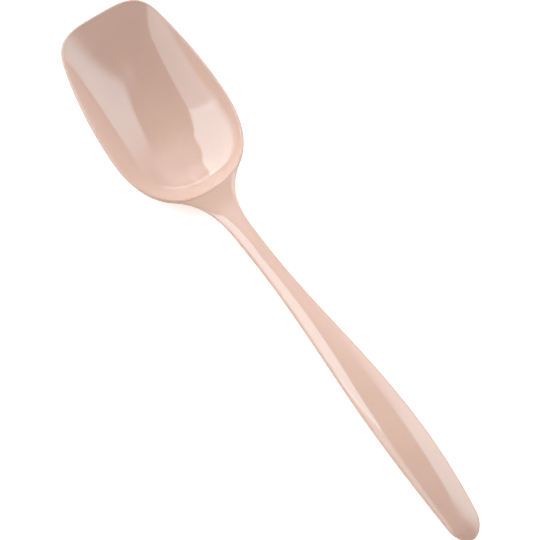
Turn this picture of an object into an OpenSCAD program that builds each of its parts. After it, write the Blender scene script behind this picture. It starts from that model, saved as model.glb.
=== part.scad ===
// A cooking spoon moulded in one piece of hard glossy plastic.
// Its deep bowl has a square front whose floor slopes up to the edge, and its slim handle is arched.
// It lies as on a table, on the belly of its bowl and the end of its handle.
// X runs from the bowl's front edge to the handle's end, Y across the spoon, and Z up.

/* [Whole spoon] */
// Length from the bowl's front edge to the handle's end
spoon_length = 300; // [280:5:340]

/* [Bowl outline] */
// Distance from the front edge to the back of the rim
bowl_length = 97; // [90:1:106]
// Width at the widest place
bowl_width = 64.8; // [56:0.2:74]
// Width across the front edge, as if its corners were sharp
front_width = 46.4; // [38:0.2:54]
// Distance from the front edge to the widest place
widest_at = 58; // [50:1:64]
// Length of the rounded corners of the front edge
front_corner = 16; // [10:1:24]
// Squareness of those corners, where 2 is an ellipse
front_squareness = 3.7; // [2.5:0.1:5]
// Squareness of the round back of the bowl
back_squareness = 2.4; // [2:0.1:3]

/* [Bowl depth] */
// Distance from the front edge to the place where the floor of the bowl stops sloping down
lowest_at = 66; // [60:1:70]
// Distance from the front edge to the front end of the floor's middle line
floor_front = 30; // [24:1:36]
// Distance from the front edge to the back end of that line
floor_back = 76; // [72:1:80]
// Thickness of the floor
floor_thickness = 2.4; // [2:0.1:4]
// Height that the floor's slope reaches at the front edge, as a share of the tip's height
floor_rise_share = 0.835; // [0.77:0.005:0.86]
// How late the front of the hollow turns up out of that slope, where 1 is a straight wall
front_fullness = 2.5; // [2:0.1:3]
// How late the sides of the hollow turn up
side_fullness = 3.1; // [2.6:0.1:3.4]
// How late the back of the hollow turns up
back_fullness = 2; // [1.8:0.1:2.4]
// Width of the rounded lip
lip_width = 1.6; // [1.2:0.1:2.4]
// Height of the lip above the outer edge
lip_height = 1.1; // [0.8:0.1:1.6]
// Share of the belly that is level, to rest on
land_share = 0.15; // [0.1:0.01:0.2]

/* [Neck] */
// Distance from the back of the rim forward to the shoulders, where the neck flares out of the rim
shoulder_setback = 5; // [4:0.5:8]
// How fast the flare narrows
flare_sharpness = 5; // [3:0.5:6]
// Width of the neck at its narrowest
neck_width = 9.8; // [8:0.2:14]
// Distance from the back of the rim to that place
neck_distance = 40; // [32:1:50]
// Height of the neck's top above its edge
neck_top = 2.9; // [2:0.1:4]
// Depth of the neck's underside below its edge
neck_bottom = 3.2; // [2:0.1:4]
// Height of the neck's top above its edge where it meets the rim
root_top = 1; // [0.5:0.1:1.4]
// Depth of the neck's underside below its edge where it meets the bowl
root_bottom = 2.5; // [2:0.1:3.2]

/* [Handle] */
// Width of the grip at its widest
grip_width = 20.2; // [16:0.2:26]
// Distance from the handle's end to that place
grip_distance = 54; // [40:1:70]
// Height of the grip's top above its edge
grip_top = 4.2; // [3:0.1:6]
// Depth of the grip's underside below its edge
grip_bottom = 4.4; // [3:0.1:6]
// Width at the handle's end, as if it weren't rounded
end_width = 13.2; // [9:0.2:16]
// Length of the rounded end
end_round = 8.6; // [6:0.2:12]
// Height of the handle's top above its edge at the end
end_top = 2.8; // [2:0.1:4]
// Depth of the handle's underside below its edge at the end
end_bottom = 2.6; // [2:0.1:4]

/* [Side view] */
// Height of the outer edge above the table at the front of the bowl
tip_height = 34.7; // [28:0.1:42]
// Extra rise of that edge over its last stretch
tip_curl = 2.4; // [0:0.1:5]
// Length of that stretch
curl_length = 35; // [20:1:50]
// Height of the edge at its lowest, in the dip of the neck
dip_height = 7.1; // [5.5:0.1:10]
// Distance from the back of the rim to the dip
dip_distance = 13; // [8:0.5:20]
// Length over which the dip is rounded
dip_round = 16; // [8:1:30]
// Height of the edge at the top of the handle's arch
arch_height = 12.6; // [9:0.1:24]
// Distance from the handle's end to that place
arch_distance = 78; // [60:0.5:100]
// Height of the edge at the handle's end
end_height = 1.2; // [1.2:0.1:5]

/* [Hidden] */
spoon_color = [0.87, 0.76, 0.70];

// Distance from the back of the rim to the plane where the bowl's piece ends and the handle's begins
joint_distance = 8;
// Roundness of the fillet under the neck
keel_round = 1.2;
// How late the arch droops towards the handle's end
droop_sharpness = 2.5;
// How fast the floor's slope flattens towards the lowest place, where 1 is straight
floor_sharpness = 2;
// Fullness of the belly's front, sides and back as shares of the hollow's
belly_shares = [1.44, 0.84, 0.9];
// Squareness of the neck's section at the rim, and of the rest of the handle
root_squareness = 3.4;
handle_squareness = 2.3;

shoulder_at = bowl_length - shoulder_setback;
joint_at = bowl_length + joint_distance;
neck_at = bowl_length + neck_distance;
dip_at = bowl_length + dip_distance;
grip_at = spoon_length - grip_distance;
arch_at = spoon_length - arch_distance;
back_length = bowl_length - widest_at;

// Steps of the mesh from the front edge round to the middle of the back
corner_steps = 12;
side_steps = 11;
back_steps = 11;
neck_steps = 10;
shoulder_step = corner_steps + side_steps + back_steps;
half_steps = shoulder_step + neck_steps;
ring_steps = 2 * half_steps;
row_steps = 2 * neck_steps;
// Steps from the floor's middle line to the lip, across the lip, and back under the belly
hollow_steps = 14;
lip_steps = 6;
lip_turn = 150;
belly_steps = 14;
// Steps from the rim to the joint, along the handle, and round its end
root_steps = 5;
handle_steps = 44;
end_steps = 7;
// Halvings of the search for a place along the rim
search_steps = 30;

function mix(a, b, share) = a + (b - a) * share;
function clamped(share) = min(1, max(0, share));
function ease(share) = (1 - cos(180 * clamped(share))) / 2;
// Height share of a squared ellipse at a share of its half width
function round_share(share, squareness) = pow(max(0, 1 - pow(abs(share), squareness)), 1 / squareness);

// Half width of the rim's outline
function rim_side(u) = bowl_width / 2 - (bowl_width - front_width) / 2 * pow(1 - u / widest_at, 2);
function rim_corner(u) = u < front_corner ? round_share(1 - u / front_corner, front_squareness) : 1;
function rim_back(u) = bowl_width / 2 * round_share(clamped((u - widest_at) / back_length), back_squareness);
function rim_half(u) = u > widest_at ? rim_back(u) : rim_side(u) * rim_corner(u);

// The flare leaves the rim at the shoulders in the rim's own direction
shoulder_share = (shoulder_at - widest_at) / back_length;
shoulder_steepness = bowl_width / 2 / back_length * pow(shoulder_share, back_squareness - 1)
    * pow(1 - pow(shoulder_share, back_squareness), 1 / back_squareness - 1);
flare_drop = rim_half(shoulder_at) - neck_width / 2;
flare_length = flare_sharpness * flare_drop / shoulder_steepness;
function flare(u) = flare_drop * pow(1 - clamped((u - shoulder_at) / flare_length), flare_sharpness);

// Half width of the whole outline
function end_share(u) = sqrt(1 - pow(clamped(1 - (spoon_length - u) / end_round), 2));
function grip_rise(u) = mix(neck_width, grip_width, ease((u - neck_at) / (grip_at - neck_at))) / 2;
function grip_fall(u) = mix(grip_width, end_width, pow((u - grip_at) / grip_distance, 2)) / 2;
function handle_half(u) = (u > grip_at ? grip_fall(u) : grip_rise(u)) * end_share(u);
function outline_half(u) = u < shoulder_at ? rim_half(u) : handle_half(u) + flare(u);

// Height of the outer edge, as seen from the side
function dip_rise(distance) = norm([dip_round, distance]) - dip_round;
function dip_share(u) = dip_rise(dip_at - u) / dip_rise(dip_at);
function curl(u) = tip_curl * pow(clamped(1 - u / curl_length), 2);
function bowl_edge(u) = mix(dip_height, tip_height - tip_curl, dip_share(u)) + curl(u);
function arch_edge(u) = mix(dip_height, arch_height, ease((u - dip_at) / (arch_at - dip_at)));
function droop_edge(u) = mix(arch_height, end_height, pow((u - arch_at) / arch_distance, droop_sharpness));
function edge_height(u) = u < dip_at ? bowl_edge(u) : u < arch_at ? arch_edge(u) : droop_edge(u);

// Height of the handle's top above its edge, and depth of its underside, at a share w of its half width
function along(root, neck, grip, end, u) =
    u < neck_at ? mix(root, neck, ease((u - bowl_length) / neck_distance))
    : u < grip_at ? mix(neck, grip, ease((u - neck_at) / (grip_at - neck_at)))
    : mix(grip, end, pow((u - grip_at) / grip_distance, 2)) * end_share(u);
function squareness(u) = mix(root_squareness, handle_squareness, ease((u - bowl_length) / neck_distance));
function section(u, w) = round_share(w, squareness(u));
function top_height(u, w) = edge_height(u) + along(root_top, neck_top, grip_top, end_top, u) * section(u, w);
function bottom_depth(u) = along(root_bottom, neck_bottom, grip_bottom, end_bottom, u);
function bottom_height(u, w) = edge_height(u) - bottom_depth(u) * section(u, w);
function at(u, y, z) = [u - spoon_length / 2, y, z];

// Places along the rim, from the middle of the front edge to the middle of the back
shoulder_turn = asin(pow(shoulder_share, back_squareness / 2));
function search(w, low, high, left) = let (half = (low + high) / 2) left == 0 ? half
    : rim_half(half) > w * outline_half(half) ? search(w, half, high, left - 1)
    : search(w, low, half, left - 1);
corner_places = [for (i = [0 : corner_steps])
    front_corner * (1 - pow(cos(90 * i / corner_steps), 2 / front_squareness))];
side_places = [for (i = [1 : side_steps]) mix(front_corner, widest_at, i / side_steps)];
back_places = [for (i = [1 : back_steps])
    widest_at + back_length * pow(sin(shoulder_turn * i / back_steps), 2 / back_squareness)];
neck_places = [for (i = [1 : neck_steps])
    search(cos(90 * i / neck_steps), shoulder_at, bowl_length, search_steps)];
places = concat(corner_places, side_places, back_places, neck_places);

// Share of the half width at each of those places, 1 until the neck flares out
function width_share(step) = step <= shoulder_step ? 1 : cos(90 * (step - shoulder_step) / neck_steps);
// The ring runs round both sides: its steps past the middle of the back mirror those before it
function mirrored(j) = j <= half_steps ? j : ring_steps - j;
function side_of(j) = j <= half_steps ? 1 : -1;
function ring_u(j) = places[mirrored(j)];
function ring_w(j) = width_share(mirrored(j));
function ring_y(j) = side_of(j) * ring_w(j) * outline_half(ring_u(j));
rim = [for (j = [0 : ring_steps - 1]) [ring_u(j), ring_y(j)]];

// Unit vector from each place on the rim inwards
function turned(v) = [v[1], -v[0]] / norm(v);
inward = [for (j = [0 : ring_steps - 1])
    turned(rim[(j + 1) % ring_steps] - rim[(j + ring_steps - 1) % ring_steps])];

// Lip: a half round from its outer foot over the crest to its inner foot
function foot_height(j) = top_height(ring_u(j), ring_w(j));
function crest_height(j) = edge_height(ring_u(j)) + lip_height;
function lip_base(j, turn) = turn < 90 ? foot_height(j) : edge_height(ring_u(j));
function lip_plan(j, turn) = rim[j] + inward[j] * lip_width / 2 * (1 - cos(turn));
function lip_z(j, turn) = mix(lip_base(j, turn), crest_height(j), sin(turn));

// Hollow and belly: rings drawn in towards the middle line of the floor, which slopes down from the front
function floor_height(u) = tip_height * floor_rise_share * pow(clamped(1 - u / lowest_at), floor_sharpness);
function spine_share(u) = ease((u - front_corner) / (shoulder_at - front_corner));
function spine(j) = [mix(floor_front, floor_back, spine_share(ring_u(j))), 0];
hollow_fullness = [front_fullness, side_fullness, back_fullness];
belly_fullness = [for (i = [0 : 2]) hollow_fullness[i] * belly_shares[i]];
function fullness_of(v, fullness) = mix(fullness[1], fullness[v[0] > 0 ? 2 : 0], pow(v[0] / norm(v), 2));
function wall_share(share, v, fullness) = pow(share, fullness_of(v, fullness));
function hollow_plan(j, share) = mix(spine(j), lip_plan(j, lip_turn), share);
function hollow_wall(j) = lip_z(j, lip_turn) - floor_thickness - floor_height(lip_plan(j, lip_turn)[0]);
function hollow_z(j, share) = floor_thickness + floor_height(hollow_plan(j, share)[0])
    + hollow_wall(j) * wall_share(share, lip_plan(j, lip_turn) - spine(j), hollow_fullness);
function belly_plan(j, share) = mix(spine(j), rim[j], share);
function past_land(share) = clamped((share - land_share) / (1 - land_share));
function belly_wall(j) = edge_height(ring_u(j)) - floor_height(ring_u(j));
function bowl_under(j, share) = floor_height(belly_plan(j, share)[0])
    + belly_wall(j) * wall_share(past_land(share), rim[j] - spine(j), belly_fullness);
// Underside of the neck and of the bowl, joined with a fillet that fades out at the edge
function fillet(gap, w) = let (r = keel_round * (1 - w * w))
    gap >= r ? gap : gap <= -r ? 0 : pow(gap + r, 2) / (4 * r);
function belly_z(j, share) = let (p = belly_plan(j, share), w = min(1, abs(p[1]) / outline_half(p[0])),
    z = bowl_under(j, share)) z - fillet(z - bottom_height(p[0], w), w);
// What that fillet takes off under the rim, which fades out towards the joint
function fillet_rest(u, w) = let (gap = bottom_depth(u) * section(u, w)) fillet(gap, w) - gap;
function keel_z(i, u, share) = bottom_height(u, root_w(i))
    - fillet_rest(ring_u(shoulder_step + i), root_w(i)) * pow(1 - share, 2);

// Points of the bowl, ring by ring
hollow_rings = [for (k = [1 : hollow_steps - 1]) let (share = sin(90 * k / hollow_steps))
    [for (j = [0 : ring_steps - 1]) let (p = hollow_plan(j, share)) at(p[0], p[1], hollow_z(j, share))]];
lip_rings = [for (k = [0 : lip_steps]) let (turn = lip_turn * (1 - k / lip_steps))
    [for (j = [0 : ring_steps - 1]) let (p = lip_plan(j, turn)) at(p[0], p[1], lip_z(j, turn))]];
belly_rings = [for (k = [1 : belly_steps]) let (share = mix(land_share, 1, cos(90 * k / belly_steps)))
    [for (j = [0 : ring_steps - 1]) let (p = belly_plan(j, share)) at(p[0], p[1], belly_z(j, share))]];
function root_u(i, share) = mix(ring_u(shoulder_step + i), joint_at, share);
function root_w(i) = ring_w(shoulder_step + i);
function root_y(i, share) = side_of(shoulder_step + i) * root_w(i) * outline_half(root_u(i, share));
root_rows = [for (t = [1 : root_steps]) let (share = t / root_steps)
    [for (i = [0 : row_steps]) let (u = root_u(i, share)) at(u, root_y(i, share), top_height(u, root_w(i)))]];
keel_rows = [for (t = [0 : root_steps]) let (share = t / root_steps)
    [for (i = [1 : row_steps - 1]) let (u = root_u(i, share)) at(u, root_y(i, share), keel_z(i, u, share))]];

// Points of the middle line, which many places of the ring look to together at its two ends
spine_steps = shoulder_step - corner_steps;
function on_spine(j) = min(max(mirrored(j % ring_steps) - corner_steps, 0), spine_steps);
spine_places = [for (i = [0 : spine_steps]) spine(corner_steps + i)[0]];
floor_line = [for (u = spine_places) at(u, 0, floor_thickness + floor_height(u))];
land_line = [for (u = spine_places) at(u, 0, floor_height(u))];

function flat(lists) = [for (list = lists) each list];
upper_rings = concat(hollow_rings, lip_rings);
first_upper = len(floor_line);
first_root = first_upper + len(upper_rings) * ring_steps;
first_keel = first_root + root_steps * (row_steps + 1);
first_belly = first_keel + (root_steps + 1) * (row_steps - 1);
first_land = first_belly + belly_steps * ring_steps;
bowl_points = concat(floor_line, flat(upper_rings), flat(root_rows), flat(keel_rows), flat(belly_rings),
    land_line);

// Numbers of those points
function upper_at(k, j) = first_upper + k * ring_steps + j % ring_steps;
function edge_at(j) = upper_at(len(upper_rings) - 1, j);
function root_at(t, i) = t == 0 ? edge_at(shoulder_step + i) : first_root + (t - 1) * (row_steps + 1) + i;
function keel_at(t, i) = i == 0 || i == row_steps ? root_at(t, i) : first_keel + t * (row_steps - 1) + i - 1;
function under_neck(j) = j > shoulder_step && j < shoulder_step + row_steps;
function belly_at(k, j) = k > 0 ? first_belly + (k - 1) * ring_steps + j % ring_steps
    : under_neck(j) ? keel_at(0, j - shoulder_step) : edge_at(j);

// Two triangles for four corners, or one where two corners are the same point
function whole(faces) = [for (f = faces) if (f[0] != f[1] && f[1] != f[2] && f[2] != f[0]) f];
function quad(a, b, c, d) = whole([[a, b, c], [a, c, d]]);
bowl_faces = concat(
    [for (j = [0 : ring_steps - 1])
        each quad(on_spine(j), upper_at(0, j), upper_at(0, j + 1), on_spine(j + 1))],
    [for (k = [0 : len(upper_rings) - 2], j = [0 : ring_steps - 1])
        each quad(upper_at(k, j), upper_at(k + 1, j), upper_at(k + 1, j + 1), upper_at(k, j + 1))],
    [for (t = [0 : root_steps - 1], i = [0 : row_steps - 1])
        each quad(root_at(t, i), root_at(t + 1, i), root_at(t + 1, i + 1), root_at(t, i + 1))],
    [for (i = [0 : row_steps - 1]) each quad(root_at(root_steps, i), keel_at(root_steps, i),
        keel_at(root_steps, i + 1), root_at(root_steps, i + 1))],
    [for (t = [0 : root_steps - 1], i = [0 : row_steps - 1])
        each quad(keel_at(t + 1, i), keel_at(t, i), keel_at(t, i + 1), keel_at(t + 1, i + 1))],
    [for (k = [0 : belly_steps - 1], j = [0 : ring_steps - 1])
        each quad(belly_at(k, j), belly_at(k + 1, j), belly_at(k + 1, j + 1), belly_at(k, j + 1))],
    [for (j = [0 : ring_steps - 1]) each quad(belly_at(belly_steps, j), first_land + on_spine(j),
        first_land + on_spine(j + 1), belly_at(belly_steps, j + 1))]);

// Points of the handle, one loop over its top and back along its underside at each place
loop_steps = 2 * row_steps;
handle_places = concat(
    [for (k = [0 : handle_steps]) mix(joint_at, spoon_length - end_round, k / handle_steps)],
    [for (k = [1 : end_steps - 1]) spoon_length - end_round * (1 - sin(90 * k / end_steps))]);
function row_w(i) = root_w(i) * side_of(shoulder_step + i);
handle_loops = [for (u = handle_places) [for (i = [0 : loop_steps - 1])
    let (w = row_w(i <= row_steps ? i : loop_steps - i))
        at(u, w * outline_half(u), i <= row_steps ? top_height(u, w) : bottom_height(u, w))]];
handle_points = concat(flat(handle_loops), [at(spoon_length, 0, end_height)]);
function loop_at(k, i) = k * loop_steps + i % loop_steps;
last_loop = len(handle_loops) - 1;
handle_faces = concat(
    [for (i = [0 : row_steps - 1]) each quad(loop_at(0, i), loop_at(0, i + 1),
        loop_at(0, loop_steps - i - 1), loop_at(0, loop_steps - i))],
    [for (k = [0 : last_loop - 1], i = [0 : loop_steps - 1])
        each quad(loop_at(k, i), loop_at(k + 1, i), loop_at(k + 1, i + 1), loop_at(k, i + 1))],
    [for (i = [0 : loop_steps - 1])
        [loop_at(last_loop, i), len(handle_points) - 1, loop_at(last_loop, i + 1)]]);

module bowl() {
    color(spoon_color) polyhedron(points = bowl_points, faces = bowl_faces);
}

module handle() {
    color(spoon_color) polyhedron(points = handle_points, faces = handle_faces);
}

bowl();
handle();
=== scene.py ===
import bmesh
import bpy
import numpy as np
from mathutils import Matrix, Vector


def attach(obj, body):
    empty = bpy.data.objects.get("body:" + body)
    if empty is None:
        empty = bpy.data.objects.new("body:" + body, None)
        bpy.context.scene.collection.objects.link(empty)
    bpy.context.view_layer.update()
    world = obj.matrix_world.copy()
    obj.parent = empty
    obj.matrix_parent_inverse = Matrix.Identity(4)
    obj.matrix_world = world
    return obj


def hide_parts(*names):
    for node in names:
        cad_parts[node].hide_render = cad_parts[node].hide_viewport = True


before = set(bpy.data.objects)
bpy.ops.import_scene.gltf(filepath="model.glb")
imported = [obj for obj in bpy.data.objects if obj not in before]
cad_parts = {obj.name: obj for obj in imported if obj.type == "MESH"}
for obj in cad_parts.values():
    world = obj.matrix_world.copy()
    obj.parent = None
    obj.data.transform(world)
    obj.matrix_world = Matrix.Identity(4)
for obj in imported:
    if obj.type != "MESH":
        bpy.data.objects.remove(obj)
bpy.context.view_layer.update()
print("frame loaded:", ", ".join(sorted(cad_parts)))

mm = 0.001

# spoon, in millimetres; the squareness, fullness and sharpness entries are powers
spoonShape = {
    "length": 300.0,
    "bowlLength": 97.0,
    "bowlWidth": 64.8,
    "frontWidth": 46.4,
    "widestAt": 58.0,
    "frontCorner": 16.0,
    "frontSquareness": 3.7,
    "backSquareness": 2.4,
    "lowestAt": 66.0,
    "floorBack": 76.0,
    "floorFront": 30.0,
    "floorThickness": 2.4,
    "floorRise": 29.0,
    "floorSharpness": 2.0,
    "frontFullness": 2.5,
    "sideFullness": 3.1,
    "backFullness": 2.0,
    "bellyFront": 3.6,
    "bellySide": 2.6,
    "bellyBack": 1.8,
    "landShare": 0.15,
    "lipWidth": 1.6,
    "lipHeight": 1.1,
    "lipTurn": 150.0,
    "shoulderSetback": 5.0,
    "flareSharpness": 5.0,
    "neckWidth": 9.8,
    "neckDistance": 40.0,
    "neckTop": 2.9,
    "neckBottom": 3.2,
    "rootTop": 1.0,
    "rootBottom": 2.5,
    "rootSquareness": 3.4,
    "keelRound": 1.2,
    "jointDistance": 8.0,
    "gripWidth": 20.2,
    "gripDistance": 54.0,
    "gripTop": 4.2,
    "gripBottom": 4.4,
    "endWidth": 13.2,
    "endRound": 8.6,
    "endTop": 2.8,
    "endBottom": 2.6,
    "handleSquareness": 2.3,
    "tipHeight": 34.7,
    "tipCurl": 2.4,
    "curlLength": 35.0,
    "dipHeight": 7.1,
    "dipDistance": 13.0,
    "dipRound": 16.0,
    "archHeight": 12.6,
    "archDistance": 78.0,
    "droopSharpness": 2.5,
    "endHeight": 1.2,
}
spoonMesh = {
    "corner": 40,
    "side": 44,
    "back": 40,
    "neck": 32,
    "hollow": 64,
    "lip": 16,
    "belly": 44,
    "land": 4,
    "root": 16,
    "handle": 220,
    "end": 24,
}
mergeDistance = 0.002


def mix(a, b, share):
    return a + (b - a) * share


def clamped(share):
    return np.clip(share, 0.0, 1.0)


def ease(share):
    return (1 - np.cos(np.pi * clamped(share))) / 2


def roundShare(share, squareness):
    return np.maximum(0.0, 1 - np.abs(share) ** squareness) ** (1 / squareness)


class Spoon:
    def __init__(self, shape, steps):
        self.__dict__.update(shape)
        self.steps = steps
        self.shoulderAt = self.bowlLength - self.shoulderSetback
        self.jointAt = self.bowlLength + self.jointDistance
        self.neckAt = self.bowlLength + self.neckDistance
        self.dipAt = self.bowlLength + self.dipDistance
        self.gripAt = self.length - self.gripDistance
        self.archAt = self.length - self.archDistance
        self.backLength = self.bowlLength - self.widestAt
        self.setFlare()
        self.setRim()

    def setFlare(self):
        share = (self.shoulderAt - self.widestAt) / self.backLength
        power = self.backSquareness
        steepness = self.bowlWidth / 2 / self.backLength * share ** (power - 1)
        steepness = steepness * (1 - share ** power) ** (1 / power - 1)
        self.shoulderShare = share
        self.flareDrop = float(self.rimHalf(np.array(self.shoulderAt))) - self.neckWidth / 2
        self.flareLength = self.flareSharpness * self.flareDrop / steepness

    def rimHalf(self, u):
        side = self.bowlWidth / 2 - (self.bowlWidth - self.frontWidth) / 2 * (1 - u / self.widestAt) ** 2
        corner = roundShare(1 - clamped(u / self.frontCorner), self.frontSquareness)
        past = clamped((u - self.widestAt) / self.backLength)
        back = self.bowlWidth / 2 * roundShare(past, self.backSquareness)
        return np.where(u > self.widestAt, back, side * corner)

    def flare(self, u):
        return self.flareDrop * (1 - clamped((u - self.shoulderAt) / self.flareLength)) ** self.flareSharpness

    def endShare(self, u):
        return np.sqrt(np.maximum(0.0, 1 - clamped(1 - (self.length - u) / self.endRound) ** 2))

    def handleHalf(self, u):
        rise = mix(self.neckWidth, self.gripWidth, ease((u - self.neckAt) / (self.gripAt - self.neckAt))) / 2
        past = np.maximum(0.0, u - self.gripAt) / self.gripDistance
        fall = mix(self.gripWidth, self.endWidth, past ** 2) / 2
        return np.where(u > self.gripAt, fall, rise) * self.endShare(u)

    def outlineHalf(self, u):
        return np.where(u < self.shoulderAt, self.rimHalf(u), self.handleHalf(u) + self.flare(u))

    def edgeHeight(self, u):
        dip = np.hypot(self.dipRound, self.dipAt - u) - self.dipRound
        dip = dip / (np.hypot(self.dipRound, self.dipAt) - self.dipRound)
        bowl = mix(self.dipHeight, self.tipHeight - self.tipCurl, dip)
        bowl = bowl + self.tipCurl * clamped(1 - u / self.curlLength) ** 2
        arch = mix(self.dipHeight, self.archHeight, ease((u - self.dipAt) / (self.archAt - self.dipAt)))
        past = np.maximum(0.0, u - self.archAt) / self.archDistance
        droop = mix(self.archHeight, self.endHeight, past ** self.droopSharpness)
        return np.where(u < self.dipAt, bowl, np.where(u < self.archAt, arch, droop))

    def along(self, root, neck, grip, end, u):
        first = mix(root, neck, ease((u - self.bowlLength) / self.neckDistance))
        second = mix(neck, grip, ease((u - self.neckAt) / (self.gripAt - self.neckAt)))
        third = mix(grip, end, (np.maximum(0.0, u - self.gripAt) / self.gripDistance) ** 2) * self.endShare(u)
        return np.where(u < self.neckAt, first, np.where(u < self.gripAt, second, third))

    def section(self, u, w):
        share = ease((u - self.bowlLength) / self.neckDistance)
        return roundShare(w, mix(self.rootSquareness, self.handleSquareness, share))

    def topHeight(self, u, w):
        rise = self.along(self.rootTop, self.neckTop, self.gripTop, self.endTop, u)
        return self.edgeHeight(u) + rise * self.section(u, w)

    def bottomDepth(self, u, w):
        depth = self.along(self.rootBottom, self.neckBottom, self.gripBottom, self.endBottom, u)
        return depth * self.section(u, w)

    # places round the rim, from the middle of the front edge round both sides
    def setRim(self):
        steps = self.steps
        corner = np.linspace(0, np.pi / 2, steps["corner"] + 1)
        corner = self.frontCorner * (1 - np.clip(np.cos(corner), 0, 1) ** (2 / self.frontSquareness))
        side = np.linspace(self.frontCorner, self.widestAt, steps["side"] + 1)[1:]
        turn = np.arcsin(self.shoulderShare ** (self.backSquareness / 2))
        back = np.sin(np.linspace(0, turn, steps["back"] + 1)[1:]) ** (2 / self.backSquareness)
        back = self.widestAt + self.backLength * back
        w = np.cos(np.linspace(0, np.pi / 2, steps["neck"] + 1)[1:])
        w[-1] = 0.0
        low = np.full(len(w), self.shoulderAt)
        high = np.full(len(w), self.bowlLength)
        for _ in range(40):
            half = (low + high) / 2
            inside = self.rimHalf(half) > w * self.outlineHalf(half)
            low = np.where(inside, half, low)
            high = np.where(inside, high, half)
        u = np.concatenate([corner, side, back, (low + high) / 2])
        w = np.concatenate([np.ones(len(u) - len(w)), w])
        self.shoulderStep = len(u) - 1 - steps["neck"]
        self.ringU = np.concatenate([u, u[-2:0:-1]])
        self.ringW = np.concatenate([w, -w[-2:0:-1]])
        self.rim = np.stack([self.ringU, self.ringW * self.outlineHalf(self.ringU)], axis=1)
        ahead = np.roll(self.rim, -1, axis=0) - np.roll(self.rim, 1, axis=0)
        inward = np.stack([ahead[:, 1], -ahead[:, 0]], axis=1)
        self.inward = inward / np.linalg.norm(inward, axis=1, keepdims=True)
        # place on the floor's middle line that each place of the rim looks to
        share = ease((self.ringU - self.frontCorner) / (self.shoulderAt - self.frontCorner))
        self.spine = np.column_stack([mix(self.floorFront, self.floorBack, share), np.zeros(len(share))])

    def lipRow(self, turn):
        edge = self.edgeHeight(self.ringU)
        foot = self.topHeight(self.ringU, self.ringW) if turn < np.pi / 2 else edge
        plan = self.rim + self.inward * self.lipWidth / 2 * (1 - np.cos(turn))
        return np.column_stack([plan, mix(foot, edge + self.lipHeight, np.sin(turn))])

    def lip(self):
        turns = np.radians(np.linspace(self.lipTurn, 0, self.steps["lip"] + 1))
        return np.array([self.lipRow(turn) for turn in turns])

    # height of the bowl's middle line above its lowest place
    def floorHeight(self, u):
        return self.floorRise * clamped(1 - u / self.lowestAt) ** self.floorSharpness

    def fullness(self, plan, front, side, back):
        away = plan - self.spine
        share = (away[:, 0] / np.linalg.norm(away, axis=1)) ** 2
        return mix(side, np.where(away[:, 0] > 0, back, front), share)

    def hollow(self):
        foot = self.lipRow(np.radians(self.lipTurn))
        fullness = self.fullness(foot[:, :2], self.frontFullness, self.sideFullness, self.backFullness)
        wall = foot[:, 2] - self.floorThickness - self.floorHeight(foot[:, 0])
        rows = []
        for share in np.sin(np.linspace(0, np.pi / 2, self.steps["hollow"] + 1)):
            plan = mix(self.spine, foot[:, :2], share)
            z = self.floorThickness + self.floorHeight(plan[:, 0]) + wall * share ** fullness
            rows.append(np.column_stack([plan, z]))
        return np.array(rows)

    # takes the bowl's underside over into the neck's underside
    def fillet(self, gap, w):
        reach = np.maximum(self.keelRound * (1 - w * w), 1e-9)
        return np.where(gap >= reach, gap, np.where(gap <= -reach, 0, (gap + reach) ** 2 / (4 * reach)))

    def belly(self):
        fullness = self.fullness(self.rim, self.bellyFront, self.bellySide, self.bellyBack)
        wall = self.edgeHeight(self.ringU) - self.floorHeight(self.ringU)
        shares = mix(self.landShare, 1, np.cos(np.linspace(0, np.pi / 2, self.steps["belly"] + 1)))
        shares = np.concatenate([shares, np.linspace(self.landShare, 0, self.steps["land"] + 1)[1:]])
        rows = []
        for share in shares:
            plan = mix(self.spine, self.rim, share)
            half = self.outlineHalf(plan[:, 0])
            w = np.where(half > 0, clamped(np.abs(plan[:, 1]) / np.maximum(half, 1e-9)), 1.0)
            rise = clamped((share - self.landShare) / (1 - self.landShare)) ** fullness
            under = self.floorHeight(plan[:, 0]) + wall * rise
            keel = self.edgeHeight(plan[:, 0]) - self.bottomDepth(plan[:, 0], w)
            rows.append(np.column_stack([plan, under - self.fillet(under - keel, w)]))
        return np.array(rows)

    # rows across the handle's top or underside, from the rim to its end
    def handle(self, top):
        first = self.shoulderStep
        columns = slice(first, first + 2 * self.steps["neck"] + 1)
        w = self.ringW[columns]
        rimU = self.ringU[columns]
        gap = self.bottomDepth(rimU, np.abs(w))
        rest = self.fillet(gap, np.abs(w)) - gap
        rows = []
        for share in np.linspace(0, 1, self.steps["root"] + 1):
            u = mix(rimU, self.jointAt, share)
            under = self.edgeHeight(u) - self.bottomDepth(u, w) - rest * (1 - share) ** 2
            rows.append(np.column_stack([u, w * self.outlineHalf(u), self.topHeight(u, w) if top else under]))
        straight = np.linspace(self.jointAt, self.length - self.endRound, self.steps["handle"] + 1)[1:]
        rounded = np.sin(np.linspace(0, np.pi / 2, self.steps["end"] + 1)[1:])
        rounded = self.length - self.endRound * (1 - rounded)
        for place in np.concatenate([straight, rounded]):
            u = np.full(len(w), place)
            under = self.edgeHeight(u) - self.bottomDepth(u, w)
            rows.append(np.column_stack([u, w * self.outlineHalf(u), self.topHeight(u, w) if top else under]))
        return np.array(rows)


def gridFaces(rows, columns, start, closed):
    faces = []
    for i in range(rows - 1):
        for j in range(columns if closed else columns - 1):
            k = (j + 1) % columns
            faces.append((start + i * columns + j, start + (i + 1) * columns + j,
                          start + (i + 1) * columns + k, start + i * columns + k))
    return faces


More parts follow.
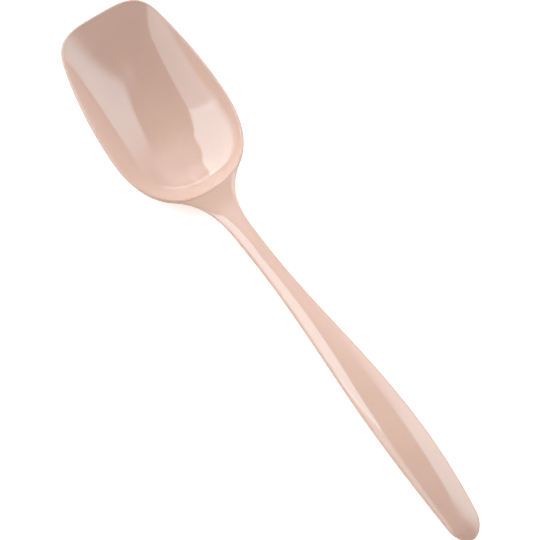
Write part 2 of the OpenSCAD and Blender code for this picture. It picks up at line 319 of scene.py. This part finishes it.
def makeSpoon():
    spoon = Spoon(spoonShape, spoonMesh)
    grids = [(spoon.hollow(), True), (spoon.lip(), True), (spoon.belly(), True),
             (spoon.handle(True), False), (spoon.handle(False), False)]
    points, faces = [], []
    for grid, closed in grids:
        faces += gridFaces(grid.shape[0], grid.shape[1], len(points), closed)
        points += (grid.reshape(-1, 3) - [spoon.length / 2, 0, 0]).tolist()
    mesh = bpy.data.meshes.new("spoon")
    mesh.from_pydata([(x * mm, y * mm, z * mm) for x, y, z in points], [], faces)
    work = bmesh.new()
    work.from_mesh(mesh)
    bmesh.ops.remove_doubles(work, verts=work.verts, dist=mergeDistance * mm)
    bmesh.ops.recalc_face_normals(work, faces=work.faces)
    openEdges = [edge for edge in work.edges if not edge.is_manifold]
    openCount = len(openEdges)
    work.to_mesh(mesh)
    work.free()
    mesh.shade_smooth()
    piece = bpy.data.objects.new("spoon", mesh)
    bpy.context.collection.objects.link(piece)
    print("spoon:", len(mesh.polygons), "faces,", openCount, "open edges")
    return piece


spoon = makeSpoon()
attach(spoon, "root")
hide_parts("bowl", "handle")


# a socket in a node tree; sums and products of it add Math nodes
class Signal:
    def __init__(self, wiring, socket):
        self.wiring = wiring
        self.socket = socket

    def math(self, operation, *values):
        return self.wiring.node("ShaderNodeMath", {"operation": operation}, dict(enumerate(values)))

    def __add__(self, other):
        return self.math("ADD", self, other)

    def __radd__(self, other):
        return self.math("ADD", other, self)

    def __sub__(self, other):
        return self.math("SUBTRACT", self, other)

    def __rsub__(self, other):
        return self.math("SUBTRACT", other, self)

    def __mul__(self, other):
        return self.math("MULTIPLY", self, other)

    def __rmul__(self, other):
        return self.math("MULTIPLY", other, self)


# the node tree of a material or light, given with the name of its main node
class Wiring:
    def __init__(self, owner, main):
        owner.use_nodes = True
        self.tree = owner.node_tree
        self.main = self.tree.nodes[main]

    def feed(self, socket, value):
        if isinstance(value, Signal):
            self.tree.links.new(value.socket, socket)
        else:
            socket.default_value = value

    def set(self, name, value):
        self.feed(self.main.inputs[name], value)

    # settings are set before the sockets, which are fed by name or number
    def node(self, kind, settings, values, output=0):
        made = self.tree.nodes.new(kind)
        for name, value in settings.items():
            setattr(made, name, value)
        for name, value in values.items():
            self.feed(made.inputs[name], value)
        return Signal(self, made.outputs[output])

    def noise(self, place, scale, detail):
        return self.node("ShaderNodeTexNoise", {}, {"Vector": place, "Scale": scale, "Detail": detail})

    def stretched(self, place, turn, scale):
        values = {"Vector": place, "Rotation": (0, 0, turn), "Scale": scale}
        return self.node("ShaderNodeMapping", {}, values)

    # 0 up to low, 1 from high on
    def step(self, value, low, high):
        values = {"Value": value, "From Min": low, "From Max": high}
        return self.node("ShaderNodeMapRange", {"interpolation_type": "SMOOTHSTEP"}, values)

    def blend(self, share, first, second):
        return self.node("ShaderNodeMix", {"data_type": "RGBA"}, {0: share, 6: first, 7: second}, output=2)


# glossy moulded melamine; scales are per metre, heights in metres, and each edge is where a noise comes in
melamineLook = {
    "body": (0.69, 0.472, 0.385, 1),
    "paler": (0.705, 0.487, 0.4, 1),
    "speck": (0.63, 0.42, 0.34, 1),
    "mottleScale": 35.0,
    "mottleEdge": (0.35, 0.65),
    "speckScale": 900.0,
    "speckEdge": (0.6, 0.7),
    "speckShare": 0.25,
    "roughness": 0.07,
    "smear": 0.03,
    "smearScale": 60.0,
    "smearEdge": (0.45, 0.75),
    "hairline": 0.10,
    "hairlineTurn": 0.5,
    "hairlineScale": (9.0, 900.0, 300.0),
    "hairlineEdge": (0.68, 0.72),
    "wornScale": 25.0,
    "wornEdge": (0.5, 0.62),
    "waveScale": 70.0,
    "waveHeight": 0.00004,
    "grainScale": 1800.0,
    "grainHeight": 0.000001,
    "ior": 1.7,
    "specularLevel": 0.62,
    "specularTint": (0.7, 0.9, 1.0, 1),
}


def makeMelamine(look):
    material = bpy.data.materials.new("melamine")
    surface = Wiring(material, "Principled BSDF")
    place = surface.node("ShaderNodeTexCoord", {}, {}, output="Object")
    mottle = surface.step(surface.noise(place, look["mottleScale"], 3.0), *look["mottleEdge"])
    specks = surface.step(surface.noise(place, look["speckScale"], 1.0), *look["speckEdge"])
    body = surface.blend(mottle, look["body"], look["paler"])
    surface.set("Base Color", surface.blend(specks * look["speckShare"], body, look["speck"]))
    # wiping leaves smears and sparse hairlines
    smear = surface.step(surface.noise(place, look["smearScale"], 4.0), *look["smearEdge"])
    worn = surface.step(surface.noise(place, look["wornScale"], 1.0), *look["wornEdge"])
    stretched = surface.stretched(place, look["hairlineTurn"], look["hairlineScale"])
    hairline = surface.step(surface.noise(stretched, 1.0, 1.0), *look["hairlineEdge"]) * worn
    surface.set("Roughness", look["roughness"] + look["smear"] * smear + look["hairline"] * hairline)
    wave = surface.noise(place, look["waveScale"], 1.0)
    grain = surface.noise(place, look["grainScale"], 2.0)
    height = wave * look["waveHeight"] + grain * look["grainHeight"] - hairline * look["grainHeight"]
    bump = {"Strength": 1.0, "Distance": 1.0, "Height": height}
    surface.set("Normal", surface.node("ShaderNodeBump", {}, bump))
    surface.set("IOR", look["ior"])
    surface.set("Specular IOR Level", look["specularLevel"])
    surface.set("Specular Tint", look["specularTint"])
    return material


spoon.data.materials.append(makeMelamine(melamineLook))
print("melamine:", len(spoon.data.materials[0].node_tree.nodes), "nodes")

# table, lit from below as a light table is, so that no shadow shows on it
tableLook = {
    "halfWidth": 0.75,
    "colour": (0.95, 0.95, 0.95, 1),
    "glow": 0.4,
}
half = tableLook["halfWidth"]
corners = [(-half, -half, 0), (half, -half, 0), (half, half, 0), (-half, half, 0)]
tableMesh = bpy.data.meshes.new("table")
tableMesh.from_pydata(corners, [], [(0, 1, 2, 3)])
table = bpy.data.objects.new("table", tableMesh)
table.visible_glossy = False
bpy.context.collection.objects.link(table)
whiteTable = bpy.data.materials.new("white_table")
white = Wiring(whiteTable, "Principled BSDF")
white.set("Base Color", tableLook["colour"])
white.set("Emission Color", (1, 1, 1, 1))
white.set("Emission Strength", tableLook["glow"])
tableMesh.materials.append(whiteTable)
print("table:", half * 2, "m wide")

# camera, which looks at the target from this direction and distance
cameraView = {
    "azimuth": -34.738,
    "elevation": 65.03,
    "distance": 0.9,
    "target": (-0.003417, -0.001639, 0.010),
    "lens": 130.947,
}
turn, rise = np.radians([cameraView["azimuth"], cameraView["elevation"]])
toCamera = Vector((np.cos(rise) * np.cos(turn), np.cos(rise) * np.sin(turn), np.sin(rise)))
camera = bpy.data.objects.new("camera", bpy.data.cameras.new("camera"))
camera.location = Vector(cameraView["target"]) + toCamera * cameraView["distance"]
camera.rotation_euler = toCamera.to_track_quat("Z", "Y").to_euler()
camera.data.lens = cameraView["lens"]
camera.data.sensor_width = 36
bpy.context.collection.objects.link(camera)
bpy.context.scene.camera = camera
print("camera:", tuple(round(value, 3) for value in camera.location))

# lights: soft boxes that face the bowl, each given by the direction of its plane and its reach over that plane
# across runs anticlockwise and up towards the zenith, both as shares of the distance; fade is the share of its
# width or height over which the light comes up from its left, right, lower and upper edge, and a round one
# comes up from its edge all round by the first of them
softBoxes = {
    "key": {"azimuth": 215, "zenith": 90, "distance": 0.8, "across": (-1.17, 0.95), "up": (0.1, 2.85),
            "brightness": 3.0, "fade": (0.04, 0.05, 0.15, 0.06), "round": False},
    "side": {"azimuth": 238, "zenith": 90, "distance": 0.8, "across": (0.28, 3.8), "up": (0, 2.16),
             "brightness": 1.5, "fade": (0.02, 0.3, 0.12, 0.05), "round": False},
    "back": {"azimuth": 73.5, "zenith": 90, "distance": 0.9, "across": (-1.5, 1.35), "up": (-0.9, 2.65),
             "brightness": 2.25, "fade": (0.37, 0.44, 0.42, 0.14), "round": False},
    "low": {"azimuth": 152, "zenith": 90, "distance": 0.8, "across": (-0.6, 0.6), "up": (0.05, 0.5),
            "brightness": 1.8, "fade": (0.3, 0.2, 0.2, 0.3), "round": False},
    "fill": {"azimuth": 148, "zenith": 36, "distance": 1.0, "across": (-0.6, 0.6), "up": (-0.75, 0.4),
             "brightness": 1.05, "fade": (0.9, 0.3, 0.3, 0.3), "round": True},
}
lightCentre = (-0.09, 0, 0.02)  # the bowl
worldBrightness = 1.0


def addSoftBox(name, values):
    turn, tilt = np.radians([values["azimuth"], values["zenith"]])
    toward = Vector((np.sin(tilt) * np.cos(turn), np.sin(tilt) * np.sin(turn), np.cos(tilt)))
    along = Vector((-np.sin(turn), np.cos(turn), 0))
    rise = toward.cross(along)
    across, up = np.array(values["across"]), np.array(values["up"])
    data = bpy.data.lights.new(name, "AREA")
    data.shape = "RECTANGLE"
    data.size, data.size_y = [float(reach[1] - reach[0]) * values["distance"] for reach in (across, up)]
    data.energy = values["brightness"] * np.pi * data.size * data.size_y
    wiring = Wiring(data, "Emission")
    place = wiring.node("ShaderNodeNewGeometry", {}, {}, output="Parametric")
    left, right, low, high = values["fade"]
    if values["round"]:
        ends = {0: place, 1: (0.5, 0.5, 0)}
        out = wiring.node("ShaderNodeVectorMath", {"operation": "DISTANCE"}, ends, output="Value")
        glow = wiring.step(1 - 2 * out, 0, left)
    else:
        x = wiring.node("ShaderNodeSeparateXYZ", {}, {0: place}, output=0)
        y = wiring.node("ShaderNodeSeparateXYZ", {}, {0: place}, output=1)
        glow = wiring.step(x, 0, left) * wiring.step(1 - x, 0, right)
        glow = glow * wiring.step(y, 0, low) * wiring.step(1 - y, 0, high)
    wiring.set("Strength", glow)
    light = bpy.data.objects.new(name, data)
    reach = toward + float(across.mean()) * along + float(up.mean()) * rise
    light.location = Vector(lightCentre) + values["distance"] * reach
    light.rotation_euler = Matrix((along, rise, toward)).transposed().to_euler()
    bpy.context.collection.objects.link(light)


for name, values in softBoxes.items():
    addSoftBox(name, values)
print("lights:", ", ".join(softBoxes))

# the room behind the table is white to the camera, and adds no light
world = bpy.data.worlds.new("studio")
bpy.context.scene.world = world
world.cycles_visibility.diffuse = False
world.cycles_visibility.glossy = False
room = Wiring(world, "Background")
room.set("Color", (1, 1, 1, 1))
room.set("Strength", worldBrightness)
bpy.context.scene.view_settings.view_transform = "Standard"
